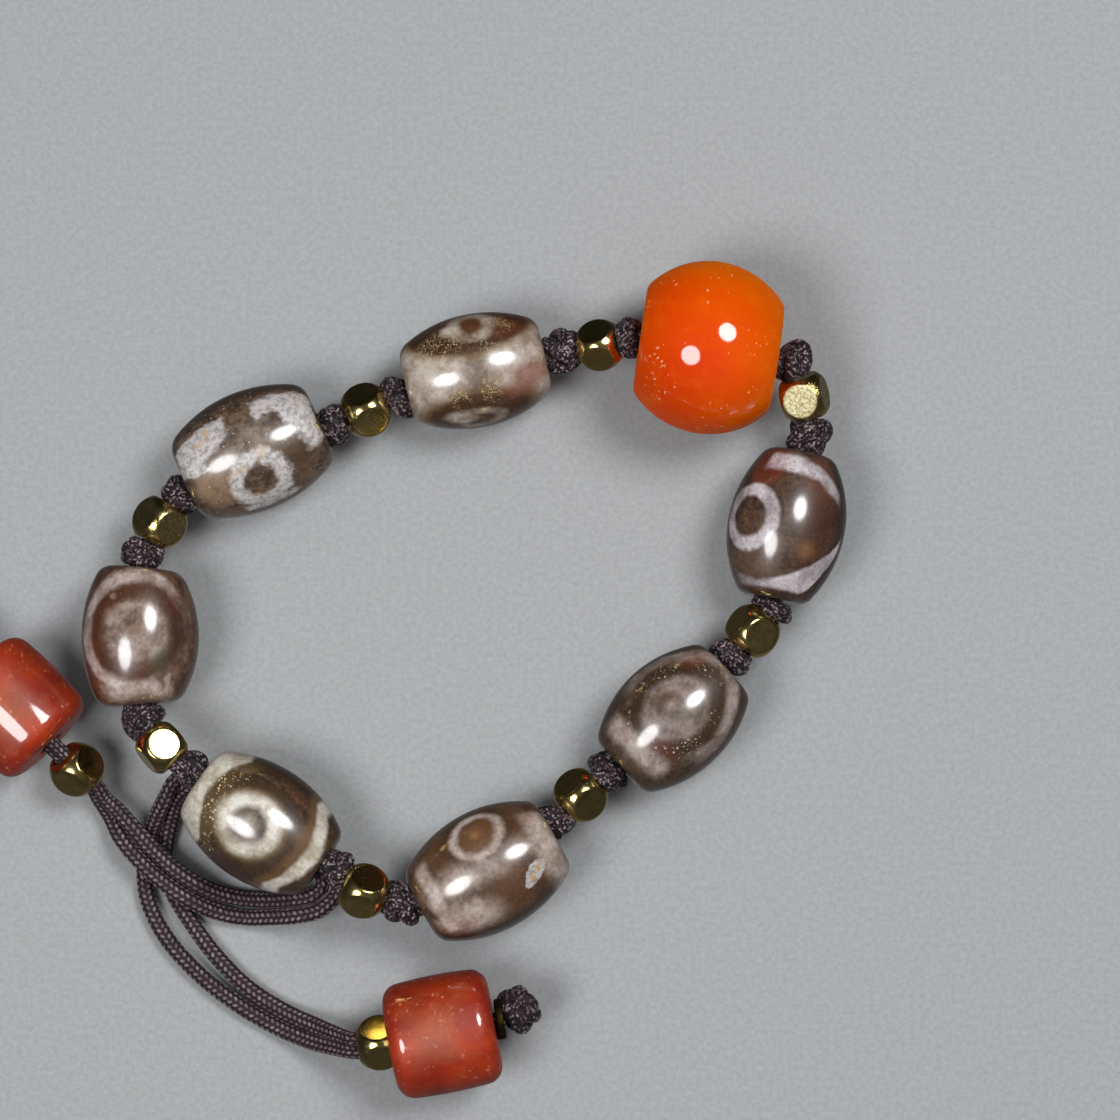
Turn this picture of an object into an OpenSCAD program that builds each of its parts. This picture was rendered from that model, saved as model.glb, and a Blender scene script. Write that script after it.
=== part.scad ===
// Dzi bead bracelet, in millimetres. Eight stone beads lie in a ring on the plane Z = 0, with a gold
// bead and two knots between each pair of them. Both ends of the doubled cord pass through the
// slider bead and end in a gold bead, a red bead, a thin spacer and a knot. The origin is under the
// middle of the ring, and the ring is strung clockwise seen from above.

/* [Stone beads] */
// Diameter of the bore through a stone bead
stone_bore_d = 2.3; // [2.1:0.1:2.6]
// Diameter of the bore through the slider bead
slider_bore_d = 4.2; // [4.2:0.1:4.4]
// Width of the flared mouths of the slider bead's bore
slider_mouth_d = 5.8; // [5.7:0.1:6]
// Depth of those flared mouths
slider_mouth_depth = 2; // [1.8:0.1:2.2]

/* [Gold beads] */
// Size of a gold bead across its flat faces
gold_flats = 4.7; // [4.5:0.05:4.75]
// Diameter of the ball that rounds a gold bead's edges
gold_ball_d = 5.95; // [5.8:0.05:6]
// Diameter of the bore through a gold bead in the ring
gold_bore_d = 2.1; // [2:0.1:2.4]

/* [Red end beads] */
// Length of a red bead
red_len = 11.4; // [11:0.1:11.6]
// Diameter of a red bead at its middle
red_d = 12.4; // [12:0.1:12.6]
// Radius of the long arc of a red bead's side
red_side_r = 33; // [20:1:60]
// Radius of a red bead's rounded edges
red_edge_r = 1.9; // [1:0.1:2.2]
// Diameter of the bore through the red beads and the gold beads beside them
end_bore_d = 3.1; // [3:0.05:3.2]
// Diameter of the thin spacer behind a red bead
spacer_d = 4.4; // [4.2:0.1:4.8]
// Thickness of that spacer
spacer_t = 0.9; // [0.8:0.1:1.2]

/* [Cord and knots] */
// Diameter of the doubled cord inside the ring
loop_cord_d = 1.8; // [1.5:0.1:1.8]
// Diameter of one free strand where nothing pinches it
strand_d = 1.8; // [1.5:0.1:1.8]
// Diameter of a knot in the ring
knot_d = 5; // [4.4:0.1:5]
// Diameter of the two knots beside the slider bead
slider_knot_d = 4; // [3.8:0.1:4.1]
// Thickness of one wrap of cord in a knot
wrap_d = 1.8; // [1.6:0.1:1.9]
// Diameter of an end knot
end_knot_d = 5.2; // [4.8:0.1:5.4]
// Length of an end knot
end_knot_len = 4.1; // [3.8:0.1:4.4]

/* [Fit] */
// Clearance between pieces that sit side by side
gap = 0.12; // [0.1:0.01:0.14]

/* [Hidden] */
$fn = 64;

// The stone beads in stringing order, each lying on the table. Columns: x, y, heading of the bore,
// length, diameter, radius of the long arc of the side, radius of the rounded edges
STONES = [
    [26.2, 27.4, -8.3, 14.9, 18.8, 9.4, 1.6],
    [34.7, 8.4, -101.4, 16.2, 12.8, 13, 1.8],
    [22.4, -12.4, -137.1, 15.5, 12.8, 13, 1.8],
    [2.4, -28.8, -151.1, 16.3, 13.2, 14, 2],
    [-21.8, -23.4, 145.4, 16, 12.9, 14, 1.6],
    [-35.1, -3.6, 90, 14.8, 12.7, 14, 2],
    [-23.1, 16.5, 24.4, 15.9, 13.2, 15, 2.2],
    [1, 25.3, 13, 15.4, 12.5, 14, 2]
];
STONE_NAMES = ["orange_bead", "dzi_bead_1", "dzi_bead_2", "dzi_bead_3", "slider_bead",
    "dzi_bead_4", "dzi_bead_5", "dzi_bead_6"];
SLIDER = 4;

// The gold beads, each after the stone bead of the same row. Columns: x, y, roll about the bore,
// height above the line between the two stone beads' bores
GOLDS = [
    [36.6, 22.3, 20, 0],
    [31, -3, 63, 0],
    [12.4, -20.7, 52, 0],
    [-10.8, -30.9, 45, 1.5],
    [-32.5, -15.6, 14, 1.5],
    [-33.1, 8.8, 45, 0],
    [-10.8, 21, 45, 0],
    [14.5, 27.9, 50, 0]
];

// How far each knot of the ring sits to the left of the line from its stone bead to its gold bead
KNOT_SHIFTS = [0.7, -0.5, 0.6, 0.3, -0.2, 0.6, -0.2, 0.6, -0.4, -0.2, 0.4, 0.7, -0.6, 0.4, 0.2, -0.2];

// What is strung on each free pair of strands. Columns: x, y and heading of the red bead, distance
// from its mouth back to the gold bead, drop of the gold bead, turn of the end knot, the red bead's
// diameter as a share of red_d, turn of the pair about its middle line
LEFT_END = [-48.8, -11.2, 135.4, 3.8, 1.6, -12, 1, -60];
RIGHT_END = [-2.4, -46.2, 8, 1.05, 0, 26, 1.04, 0];
END_ROLL = 45;
END_KNOT_PITCH = -12;

// Middle line of each free pair of strands, from the slider bead's mouth to the gold bead. Columns:
// x, y, z, distance between the strands, thickness as a share of strand_d, turn about the middle line
PINCHED = [1.5, 0.78];
LEFT_ROUTE = [
    [-14.9, -28.8, 5.3, 1.6, 0.78, 0],
    [-14.6, -30.7, 5, 1.8, 0.85, 0],
    [-16.1, -32.2, 4.4, 1.9, 0.95, 0],
    [-18.3, -32.7, 3.5, 2, 1, 0],
    [-21, -32.9, 2, 2, 1, 0],
    [-24, -32.9, 0.9, 2.1, 1, 0],
    [-27, -32.3, 1.4, 2.1, 1, 0],
    [-29.8, -31, 2.7, 2, 1, 0],
    [-32.4, -29.2, 2.9, 2, 1, 0],
    [-34.8, -27, 2.9, 2, 1, 0],
    [-36.8, -24.7, 2.8, 2, 1, -20],
    [-38.4, -22.5, 2.1, 1.9, 0.95, -50],
    [-39.7, -20.9, 2.4, 1.7, 0.85, -60]
];
RIGHT_ROUTE = [
    [-29.2, -18.8, 5.2, 1.6, 0.78, -10],
    [-30.8, -19.5, 4.8, 1.8, 0.85, -35],
    [-31.9, -21, 3.7, 1.9, 0.95, -55],
    [-32.9, -23.1, 2, 2, 1, -40],
    [-33.6, -25.4, 0.9, 2, 1, 0],
    [-34, -28.2, 0.9, 2.2, 1, 0],
    [-33.4, -31.4, 0.9, 2.9, 1, 0],
    [-31.4, -35.1, 0.9, 3.3, 1, 0],
    [-28.1, -39.1, 0.9, 2.8, 1, 0],
    [-24.3, -42.4, 0.9, 2.2, 1, 0],
    [-20.2, -44.9, 0.9, 2, 1, 0],
    [-16.5, -46.4, 2.2, 1.9, 1, 0],
    [-13.5, -47.2, 4.7, 1.6, 0.85, 0]
];
CORD_SIDES = 10;
STRAND_SIDES = 8;

// Heights inside the slider bead, from its axis, and how far its bore runs straight from its middle
slider_cord_rise = 1.15;
slider_mouth_rise = 1.5;
slider_strand_drop = 1.05;
slider_straight = 6.75;
// Where a free pair straightens inside a red bead, from the bead's mouth
red_straight = 2;
// How far a strand's cut end stays off its end knot
strand_end_gap = 0.02;
// Knots: radius of a wrap, least distance from the knot's middle to a wrap, how far the solid middle
// reaches into the last wrap, and how much the end wraps of an end knot draw in
wrap_r = wrap_d / 2;
least_wrap_offset = 0.35;
core_reach = 0.7 * wrap_r;
end_knot_taper = 0.35;
// Radial play of the loop cord in the knots, and the reach of cutting tools
cord_play = 0.1;
far = 20;

// Directions and points along the string
function unit(v) = v / norm(v);
function along(heading) = [cos(heading), sin(heading), 0];
function heading_of(v) = atan2(v.y, v.x);
function pitch_of(v) = asin(v.z / norm(v));
function stone(i) = STONES[i % len(STONES)];
function stone_centre(i) = [stone(i)[0], stone(i)[1], stone(i)[4] / 2];
function stone_axis(i) = along(stone(i)[2]);
function stone_end(i, side) = stone_centre(i) + side * stone(i)[3] / 2 * stone_axis(i);

// The cord's point at a stone bead's mouth. In the slider bead it runs above the strands
function mouth(i, side) =
    stone_end(i, side) + [0, 0, i % len(STONES) == SLIDER ? slider_mouth_rise : 0];
function gold_axis(i) = unit(mouth(i + 1, -1) - mouth(i, 1));
function gold_centre(i) =
    [GOLDS[i][0], GOLDS[i][1], (mouth(i, 1).z + mouth(i + 1, -1).z) / 2 + GOLDS[i][3]];
function gold_face(i, side) = gold_centre(i) + side * gold_flats / 2 * gold_axis(i);

// The loop cord bends just outside the beads
function bend_out(s, side) = mouth(s, side) + side * gap * stone_axis(s);
function bend_in(g, side) = gold_face(g, side) + side * gap * gold_axis(g);

// Places on a free end
function red_centre(end) = [end[0], end[1], end[6] * red_d / 2];
function red_axis(end) = along(end[2]);
function red_mouth(end) = red_centre(end) - red_len / 2 * red_axis(end);
function end_gold_centre(end) = red_mouth(end) - end[3] * red_axis(end) - [0, 0, end[4]];
function end_gold_axis(end) = unit(red_mouth(end) - end_gold_centre(end));
function cord_end(end) = red_centre(end) + (red_len / 2 + spacer_t + 2 * gap) * red_axis(end);

// Places a child with its X axis along a direction, rolled about it
module place(point, direction, roll = 0) {
    translate(point)
        rotate([0, -pitch_of(direction), heading_of(direction)])
            rotate([roll, 0, 0]) children();
}

// Turns a profile drawn with X outwards and Y along the bore into a solid along the X axis
module turned() {
    rotate([0, 90, 0]) rotate_extrude() children();
}

module bore(diameter, length) {
    rotate([0, 90, 0]) cylinder(d = diameter, h = length, center = true);
}

// A cut that leaves only what lies ahead of the YZ plane
module trim_behind() {
    translate([-far / 2, 0, 0]) cube(far, center = true);
}

// Half section of a barrel bead: one long arc for the side and a small arc for each edge
module barrel_section(length, diameter, side_r, edge_r) {
    half = length / 2;
    side_x = diameter / 2 - side_r;
    edge_y = half - edge_r;
    edge_x = side_x + sqrt(pow(side_r - edge_r, 2) - edge_y * edge_y);
    join_y = edge_y * side_r / (side_r - edge_r);
    intersection() {
        translate([side_x, 0]) circle(side_r);
        translate([0, -join_y]) square([diameter, 2 * join_y]);
    }
    translate([0, -half]) square([edge_x, length]);
    for (side = [-1, 1]) translate([edge_x, side * edge_y]) circle(edge_r);
}

module barrel(length, diameter, side_r, edge_r) {
    turned() barrel_section(length, diameter, side_r, edge_r);
}

// Stone beads of the ring
module plain_stone(i) {
    row = stone(i);
    place(stone_centre(i), stone_axis(i)) difference() {
        barrel(row[3], row[4], row[5], row[6]);
        bore(stone_bore_d, far);
    }
}

module slider_stone() {
    row = stone(SLIDER);
    place(stone_centre(SLIDER), stone_axis(SLIDER)) difference() {
        barrel(row[3], row[4], row[5], row[6]);
        bore(slider_bore_d, far);
        for (turn = [0, 180])
            rotate([0, 90, turn]) translate([0, 0, row[3] / 2 - slider_mouth_depth])
                cylinder(d1 = slider_bore_d, d2 = slider_mouth_d, h = slider_mouth_depth);
    }
}

module ring_stone(i) {
    color(i == 0 ? "orangered" : "rosybrown")
        if (i == SLIDER) slider_stone();
        else plain_stone(i);
}

// Gold beads: a cube whose edges and corners are rounded off by a ball
module gold_shape() {
    intersection() {
        cube(gold_flats, center = true);
        sphere(d = gold_ball_d);
    }
}

module ring_gold(i) {
    color("gold") place(gold_centre(i), gold_axis(i), GOLDS[i][2]) difference() {
        gold_shape();
        bore(gold_bore_d, far);
    }
}

module end_gold(end) {
    color("gold") place(end_gold_centre(end), end_gold_axis(end), END_ROLL) difference() {
        gold_shape();
        bore(end_bore_d, far);
    }
}

// Knots: wraps of cord side by side round a solid middle, as one turned lump. Its end wraps draw in
// by the taper
module wraps(diameter, offsets, taper = 0) {
    core_half = max(offsets) + core_reach;
    core_r = diameter / 2 - wrap_r - max(offsets) * taper;
    turned() {
        for (offset = offsets)
            translate([diameter / 2 - wrap_r - abs(offset) * taper, offset]) circle(wrap_r);
        translate([0, -core_half]) square([core_r, 2 * core_half]);
    }
}

// The knot between stone bead s and gold bead g, pressed flat against both of them
module ring_knot(s, side, g, diameter, shift) {
    from = mouth(s, side);
    to = gold_face(g, -side);
    reach = norm(to - from) / 2;
    wrap_offset = max(least_wrap_offset, reach - wrap_r);
    color("dimgray") difference() {
        place((from + to) / 2 + shift * sideways(to - from), to - from)
            wraps(diameter, [-wrap_offset, wrap_offset]);
        place((bend_out(s, side) + bend_in(g, -side)) / 2, bend_in(g, -side) - bend_out(s, side))
            bore(loop_cord_d + 2 * cord_play, far);
        place(stone_end(s, side) + side * gap * stone_axis(s), side * stone_axis(s)) trim_behind();
        place(to - side * gap * gold_axis(g), -side * gold_axis(g)) trim_behind();
    }
}

// Knots 1 and 2 lie before and after the first gold bead, and so on round the ring
module numbered_knot(k) {
    g = floor((k - 1) / 2);
    after = k % 2 == 0;
    s = after ? (g + 1) % len(STONES) : g;
    ring_knot(s, after ? -1 : 1, g, s == SLIDER ? slider_knot_d : knot_d, KNOT_SHIFTS[k - 1]);
}

module end_knot(end) {
    direction = along(end[2] + end[5]) + [0, 0, sin(END_KNOT_PITCH)];
    color("dimgray") difference() {
        place(cord_end(end) + end_knot_len / 2 * unit(direction), direction)
            wraps(end_knot_d, [-1, 0, 1] * (end_knot_len / 2 - wrap_r), end_knot_taper);
        place(cord_end(end), red_axis(end)) trim_behind();
    }
}

// Red beads, with a round seat at the mouth for the gold bead, and their thin spacers
module red_bead(end) {
    color("firebrick") place(red_centre(end), red_axis(end)) difference() {
        barrel(red_len, end[6] * red_d, red_side_r, red_edge_r);
        bore(end_bore_d, far);
        translate([-red_len / 2 - RIGHT_END[3], 0, 0]) sphere(d = gold_ball_d + 2 * gap);
    }
}

module spacer(end) {
    color("darkgoldenrod")
        place(red_centre(end) + (red_len / 2 + gap + spacer_t / 2) * red_axis(end), red_axis(end))
            difference() {
                turned() {
                    translate([0, -spacer_t / 2]) square([(spacer_d - spacer_t) / 2, spacer_t]);
                    translate([(spacer_d - spacer_t) / 2, 0]) circle(spacer_t / 2);
                }
                bore(end_bore_d, far);
            }
}

// A tube swept along a path, with one ring of points at each of the path's points
function path_point(path, i, closed) =
    closed ? path[(i + len(path)) % len(path)] : path[max(0, min(len(path) - 1, i))];
function leg(path, i, closed) =
    let (step = path_point(path, i + 1, closed) - path_point(path, i, closed))
        norm(step) > 0 ? unit(step) : [0, 0, 0];
function tangent(path, i, closed) = unit(leg(path, i - 1, closed) + leg(path, i, closed));
function sideways(direction) = unit(cross([0, 0, 1], direction));
function ring(centre, direction, radius, sides) = [
    for (k = [0:sides - 1])
        let (turn = (k + 0.5) * 360 / sides, out = sideways(direction))
            centre + radius * (cos(turn) * out + sin(turn) * cross(direction, out))
];

module tube(path, radii, sides, closed = false) {
    count = len(path);
    points = [for (i = [0:count - 1]) each ring(path[i], tangent(path, i, closed), radii[i], sides)];
    walls = [
        for (i = [0:closed ? count - 1 : count - 2], k = [0:sides - 1])
            let (near = i * sides, next = (i + 1) % count * sides, other = (k + 1) % sides)
                [near + k, next + k, next + other, near + other]
    ];
    caps = closed ? [] : [
        [for (k = [0:sides - 1]) k],
        [for (k = [sides - 1:-1:0]) (count - 1) * sides + k]
    ];
    polyhedron(points, concat(walls, caps), convexity = 10);
}

// The doubled cord through the ring, straight through each bead and each knot
slider_cord = [for (side = [-1, 1])
    stone_centre(SLIDER) + side * slider_straight * stone_axis(SLIDER) + [0, 0, slider_cord_rise]];
LOOP_PATH = [
    for (i = [0:len(STONES) - 1])
        each concat(
            [bend_out(i, -1)],
            i == SLIDER ? slider_cord : [],
            [bend_out(i, 1), bend_in(i, -1), bend_in(i, 1)]
        )
];

module loop_cord() {
    color("dimgray") tube(LOOP_PATH, [for (p = LOOP_PATH) loop_cord_d / 2], CORD_SIDES, true);
}

// A pair of free strands: rows as in the route tables
function pinched(point, turn) = concat(point, PINCHED, turn);
function slider_run(side) = [for (distance = [gap / 2, slider_straight])
    pinched(stone_centre(SLIDER) + side * distance * stone_axis(SLIDER) - [0, 0, slider_strand_drop], 0)];
function end_run(end) = [
    pinched(end_gold_centre(end) - (gold_flats / 2 + gap) * end_gold_axis(end), end[7]),
    pinched(end_gold_centre(end) + (gold_flats / 2 + gap) * end_gold_axis(end), end[7]),
    pinched(red_mouth(end) + red_straight * red_axis(end), end[7]),
    pinched(cord_end(end) - strand_end_gap * red_axis(end), end[7])
];
function pair_rows(side, route, end) = concat(slider_run(side), route, end_run(end));
function middle(rows) = [for (row = rows) [row[0], row[1], row[2]]];
function strand_path(rows, side) = [
    for (i = [0:len(rows) - 1])
        let (
            direction = tangent(middle(rows), i, false),
            out = sideways(direction),
            turn = rows[i][5]
        )
            middle(rows)[i] + side * rows[i][3] / 2 * (cos(turn) * out + sin(turn) * cross(direction, out))
];

module strand(rows, side) {
    color("dimgray")
        tube(strand_path(rows, side), [for (row = rows) row[4] * strand_d / 2], STRAND_SIDES);
}

module left_strand(side) {
    strand(pair_rows(-1, LEFT_ROUTE, LEFT_END), side);
}

module right_strand(side) {
    strand(pair_rows(1, RIGHT_ROUTE, RIGHT_END), side);
}

for (i = [0:7]) ring_stone(i);
for (i = [0:7]) ring_gold(i);
for (k = [1:16]) numbered_knot(k);
loop_cord();
left_strand(1);  // left_strand_a
left_strand(-1);  // left_strand_b
right_strand(1);  // right_strand_a
right_strand(-1);  // right_strand_b
end_gold(LEFT_END);  // left_gold_bead
end_gold(RIGHT_END);  // right_gold_bead
red_bead(LEFT_END);  // left_red_bead
red_bead(RIGHT_END);  // right_red_bead
spacer(LEFT_END);  // left_spacer
spacer(RIGHT_END);  // right_spacer
end_knot(LEFT_END);  // left_end_knot
end_knot(RIGHT_END);  // right_end_knot
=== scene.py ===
"""Looks of the dzi bead bracelet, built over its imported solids. Lengths in the tables are millimetres."""
import math

import bpy
import numpy as np
from mathutils import Matrix, Vector


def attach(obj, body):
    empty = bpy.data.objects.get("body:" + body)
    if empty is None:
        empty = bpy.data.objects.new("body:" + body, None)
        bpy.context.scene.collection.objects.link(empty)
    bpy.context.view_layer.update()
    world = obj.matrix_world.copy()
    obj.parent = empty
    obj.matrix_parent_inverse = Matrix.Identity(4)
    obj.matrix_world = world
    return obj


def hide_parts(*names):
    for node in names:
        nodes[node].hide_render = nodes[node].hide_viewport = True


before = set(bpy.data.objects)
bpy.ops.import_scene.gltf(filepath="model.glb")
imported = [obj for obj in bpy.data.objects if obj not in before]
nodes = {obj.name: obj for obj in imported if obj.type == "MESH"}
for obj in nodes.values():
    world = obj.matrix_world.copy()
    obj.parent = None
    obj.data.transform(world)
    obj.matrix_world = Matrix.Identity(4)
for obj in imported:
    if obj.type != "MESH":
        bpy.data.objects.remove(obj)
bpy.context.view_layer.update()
MM = 0.001
scene = bpy.context.scene
norm = np.linalg.norm
UP = np.array([0, 0, 1.0])


def unit(v):
    return np.asarray(v, float) / norm(v)


def along(heading):
    """The level unit vector that points a heading's degrees from +X towards +Y."""
    a = math.radians(heading)
    return np.array([math.cos(a), math.sin(a), 0.0])


def add(name, data):
    """A new object in the scene."""
    obj = bpy.data.objects.new(name, data)
    scene.collection.objects.link(obj)
    return obj


# Camera, in metres and degrees
ELEVATION, DISTANCE, LENS = 86.0, 0.41, 121.9
TARGET = Vector((0.0102, 0.0047, 0.0065))


def add_camera():
    e = math.radians(ELEVATION)
    away = Vector((0, -math.cos(e), math.sin(e)))
    data = bpy.data.cameras.new("camera")
    data.lens = LENS
    data.sensor_width = 36
    data.clip_start = 0.01
    data.clip_end = 10
    scene.camera = add("camera", data)
    scene.camera.location = TARGET + DISTANCE * away
    scene.camera.rotation_euler = (-away).to_track_quat("-Z", "Y").to_euler()


add_camera()

# The string's tables
# Stone beads: x, y, heading of the bore, length, diameter, radius of the side's arc, edge radius
STONES = [
    (26.2, 27.4, -8.3, 14.9, 18.8, 9.4, 1.6),
    (34.7, 8.4, -101.4, 16.2, 12.8, 13, 1.8),
    (22.4, -12.4, -137.1, 15.5, 12.8, 13, 1.8),
    (2.4, -28.8, -151.1, 16.3, 13.2, 14, 2),
    (-21.8, -23.4, 145.4, 16, 12.9, 14, 1.6),
    (-35.1, -3.6, 90, 14.8, 12.7, 14, 2),
    (-23.1, 16.5, 24.4, 15.9, 13.2, 15, 2.2),
    (1, 25.3, 13, 15.4, 12.5, 14, 2),
]
STONE_NAMES = ["orange_bead", "dzi_bead_1", "dzi_bead_2", "dzi_bead_3", "slider_bead",
               "dzi_bead_4", "dzi_bead_5", "dzi_bead_6"]
SLIDER, SLANTED = 4, 5
# Gold beads: x, y, roll about the bore, height above the line between the neighbouring bores
GOLDS = [
    (36.6, 22.3, 20, 0),
    (31, -3, 63, 0),
    (12.4, -20.7, 52, 0),
    (-10.8, -30.9, 45, 1.5),
    (-32.5, -15.6, 14, 1.5),
    (-33.1, 8.8, 45, 0),
    (-10.8, 21, 45, 0),
    (14.5, 27.9, 50, 0),
]
# How far each knot of the ring lies to the left of the line between its neighbours
KNOT_SHIFTS = [0.7, -0.5, 0.6, 0.3, -0.2, 0.6, -0.2, 0.6, -0.4, -0.2, 0.4, 0.7, -0.6, 0.4, 0.2, -0.2]
# Ends of the tails: place and heading of the red bead, how far back and down the gold bead lies, turn of the
# knot, size of the red bead, turn of the pair of strands
LEFT_END = dict(x=-48.8, y=-11.2, heading=135.4, back=3.8, drop=1.6, knot=-12, size=1, pair=-60)
RIGHT_END = dict(x=-2.4, y=-46.2, heading=8, back=1.05, drop=0, knot=26, size=1.04, pair=0)
ENDS = (("left", LEFT_END), ("right", RIGHT_END))
# Distance between the strands and thickness share inside the beads
PINCHED = (1.5, 0.78)
# Pairs of strands: x, y, z, distance between the strands, thickness share, turn about the middle line
LEFT_ROUTE = [
    (-14.9, -28.8, 5.3, 1.6, 0.78, 0),
    (-14.6, -30.7, 5, 1.8, 0.85, 0),
    (-16.1, -32.2, 4.4, 1.9, 0.95, 0),
    (-18.3, -32.7, 3.5, 2, 1, 0),
    (-21, -32.9, 2, 2, 1, 0),
    (-24, -32.9, 0.9, 2.1, 1, 0),
    (-27, -32.3, 1.4, 2.1, 1, 0),
    (-29.8, -31, 2.7, 2, 1, 0),
    (-32.4, -29.2, 2.9, 2, 1, 0),
    (-34.8, -27, 2.9, 2, 1, 0),
    (-36.8, -24.7, 2.8, 2, 1, -20),
    (-38.4, -22.5, 2.1, 1.9, 0.95, -50),
    (-39.7, -20.9, 2.4, 1.7, 0.85, -60),
]
RIGHT_ROUTE = [
    (-29.2, -18.8, 5.2, 1.6, 0.78, -10),
    (-30.8, -19.5, 4.8, 1.8, 0.85, -35),
    (-31.9, -21, 3.7, 1.9, 0.95, -55),
    (-32.9, -23.1, 2, 2, 1, -40),
    (-33.6, -25.4, 0.9, 2, 1, 0),
    (-34, -28.2, 0.9, 2.2, 1, 0),
    (-33.4, -31.4, 0.9, 2.9, 1, 0),
    (-31.4, -35.1, 0.9, 3.3, 1, 0),
    (-28.1, -39.1, 0.9, 2.8, 1, 0),
    (-24.3, -42.4, 0.9, 2.2, 1, 0),
    (-20.2, -44.9, 0.9, 2, 1, 0),
    (-16.5, -46.4, 2.2, 1.9, 1, 0),
    (-13.5, -47.2, 4.7, 1.6, 0.85, 0),
]
# Sizes of the pieces
STONE_BORE, SLIDER_BORE, GOLD_BORE, END_BORE = 2.3, 5.1, 2.1, 3.1
BORE_LIP, SLIDER_MOUTH_RISE = 0.35, 1.5
GOLD_FLATS, GOLD_BALL, END_ROLL = 4.7, 5.95, 45
RED_LEN, RED_D, RED_SIDE_R, RED_EDGE, RED_GROWTH = 11.4, 12.4, 50, 1.9, 0.65
SPACER_D, SPACER_T, SPACER_SIDE_R, SPACER_EDGE, SPACER_BORE = 4.4, 0.9, 3.0, 0.3, 2.8
STRAND_D, KNOT_D, SLIDER_KNOT_D = 1.8, 5.0, 4.0
END_KNOT_D, END_KNOT_LEN, END_KNOT_PITCH = 5.2, 4.1, -12
KNOT_OVERLAP, END_KNOT_SHARE = 0.15, 0.45
GAP, FLOOR_GAP, STRAND_END_GAP = 0.12, 0.01, 0.02
# How far pieces are shown from their solids
END_KNOT_SHIFT, SPACER_SHIFT, SLIDER_SHIFT = (-0.3, 0.55, 0), (-0.05, 0.7, 0), (-0.18, -0.3, 0)
# Turns about a vertical axis and rolls about the bore, in degrees
RED_TURN, GOLD_4_TURN, GOLD_4_ROLL, GOLD_5_ROLL = 2.8, 7, 41, 14.5
# Places in GOLDS: of beads shown a little smaller, and of beads with sandblasted facets, with how much
SMALL_GOLDS, SMALL_GOLD_SHARE, SANDY_GOLDS = (4, 7), 0.95, {0: 0.9, 5: 0.35}
# Unevenness of the ground beads, which fades out near the bore
STONE_WOBBLE, STONE_SLANT, RED_WOBBLE, EVEN_RADIUS, EVEN_BLEND = 0.012, 0.012, 0.008, 2.6, 2
# The strands inside the slider bead and the red beads, and how close they lie to each other
SLIDER_RUN, SLIDER_RUN_DROP, RED_RUN, PAIR_SHARE = 6.75, 1.05, 2, 0.96
# The cord as it is drawn: steps along it, its radius in the knots, the lumps under it, and its stitches
STRAND_STEP, KNOT_STEP = 0.12, 0.16
KNOT_CORD_R, KNOT_CORD_SHARE, KNOT_MARGIN, KNOT_MIN_REACH = 0.78, 0.56, 1.05, 0.25
LUMP_SHARE, LUMP_FILL, LUMP_BORE_R = 0.92, 0.35, 0.9
BRAID_PITCH, BRAID_COLUMNS, BRAID_LEAN, STITCH_LEN, STITCH_WIDTH = 0.68, 8, 0.4, 0.52, 0.5


def stone_axis(i):
    return along(STONES[i % 8][2])


def stone_centre(i):
    x, y, _, _, diameter, _, _ = STONES[i % 8]
    return np.array([x, y, diameter / 2])


def mouth(i, side):
    """Where the cord leaves a stone bead, ahead (side 1) or behind (side -1)."""
    rise = SLIDER_MOUTH_RISE if i % 8 == SLIDER else 0
    length = STONES[i % 8][3]
    return stone_centre(i) + side * length / 2 * stone_axis(i) + rise * UP


def gold_axis(i):
    return unit(mouth(i + 1, -1) - mouth(i, 1))


def gold_centre(i):
    x, y, _, lift = GOLDS[i]
    return np.array([x, y, (mouth(i, 1)[2] + mouth(i + 1, -1)[2]) / 2 + lift])


def gold_face(i, side):
    return gold_centre(i) + side * GOLD_FLATS / 2 * gold_axis(i)


def red_centre(end):
    return np.array([end["x"], end["y"], end["size"] * RED_D / 2])


def red_mouth(end):
    return red_centre(end) - RED_LEN / 2 * along(end["heading"])


def end_gold_centre(end):
    return red_mouth(end) - end["back"] * along(end["heading"]) - end["drop"] * UP


def end_gold_axis(end):
    return unit(red_mouth(end) - end_gold_centre(end))


def cord_end(end):
    return red_centre(end) + (RED_LEN / 2 + SPACER_T + 2 * GAP) * along(end["heading"])


# Mesh helpers
def distances(path):
    """Distance along the path at each of its points."""
    return np.concatenate([[0], np.cumsum(norm(np.diff(path, axis=0), axis=1))])


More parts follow.
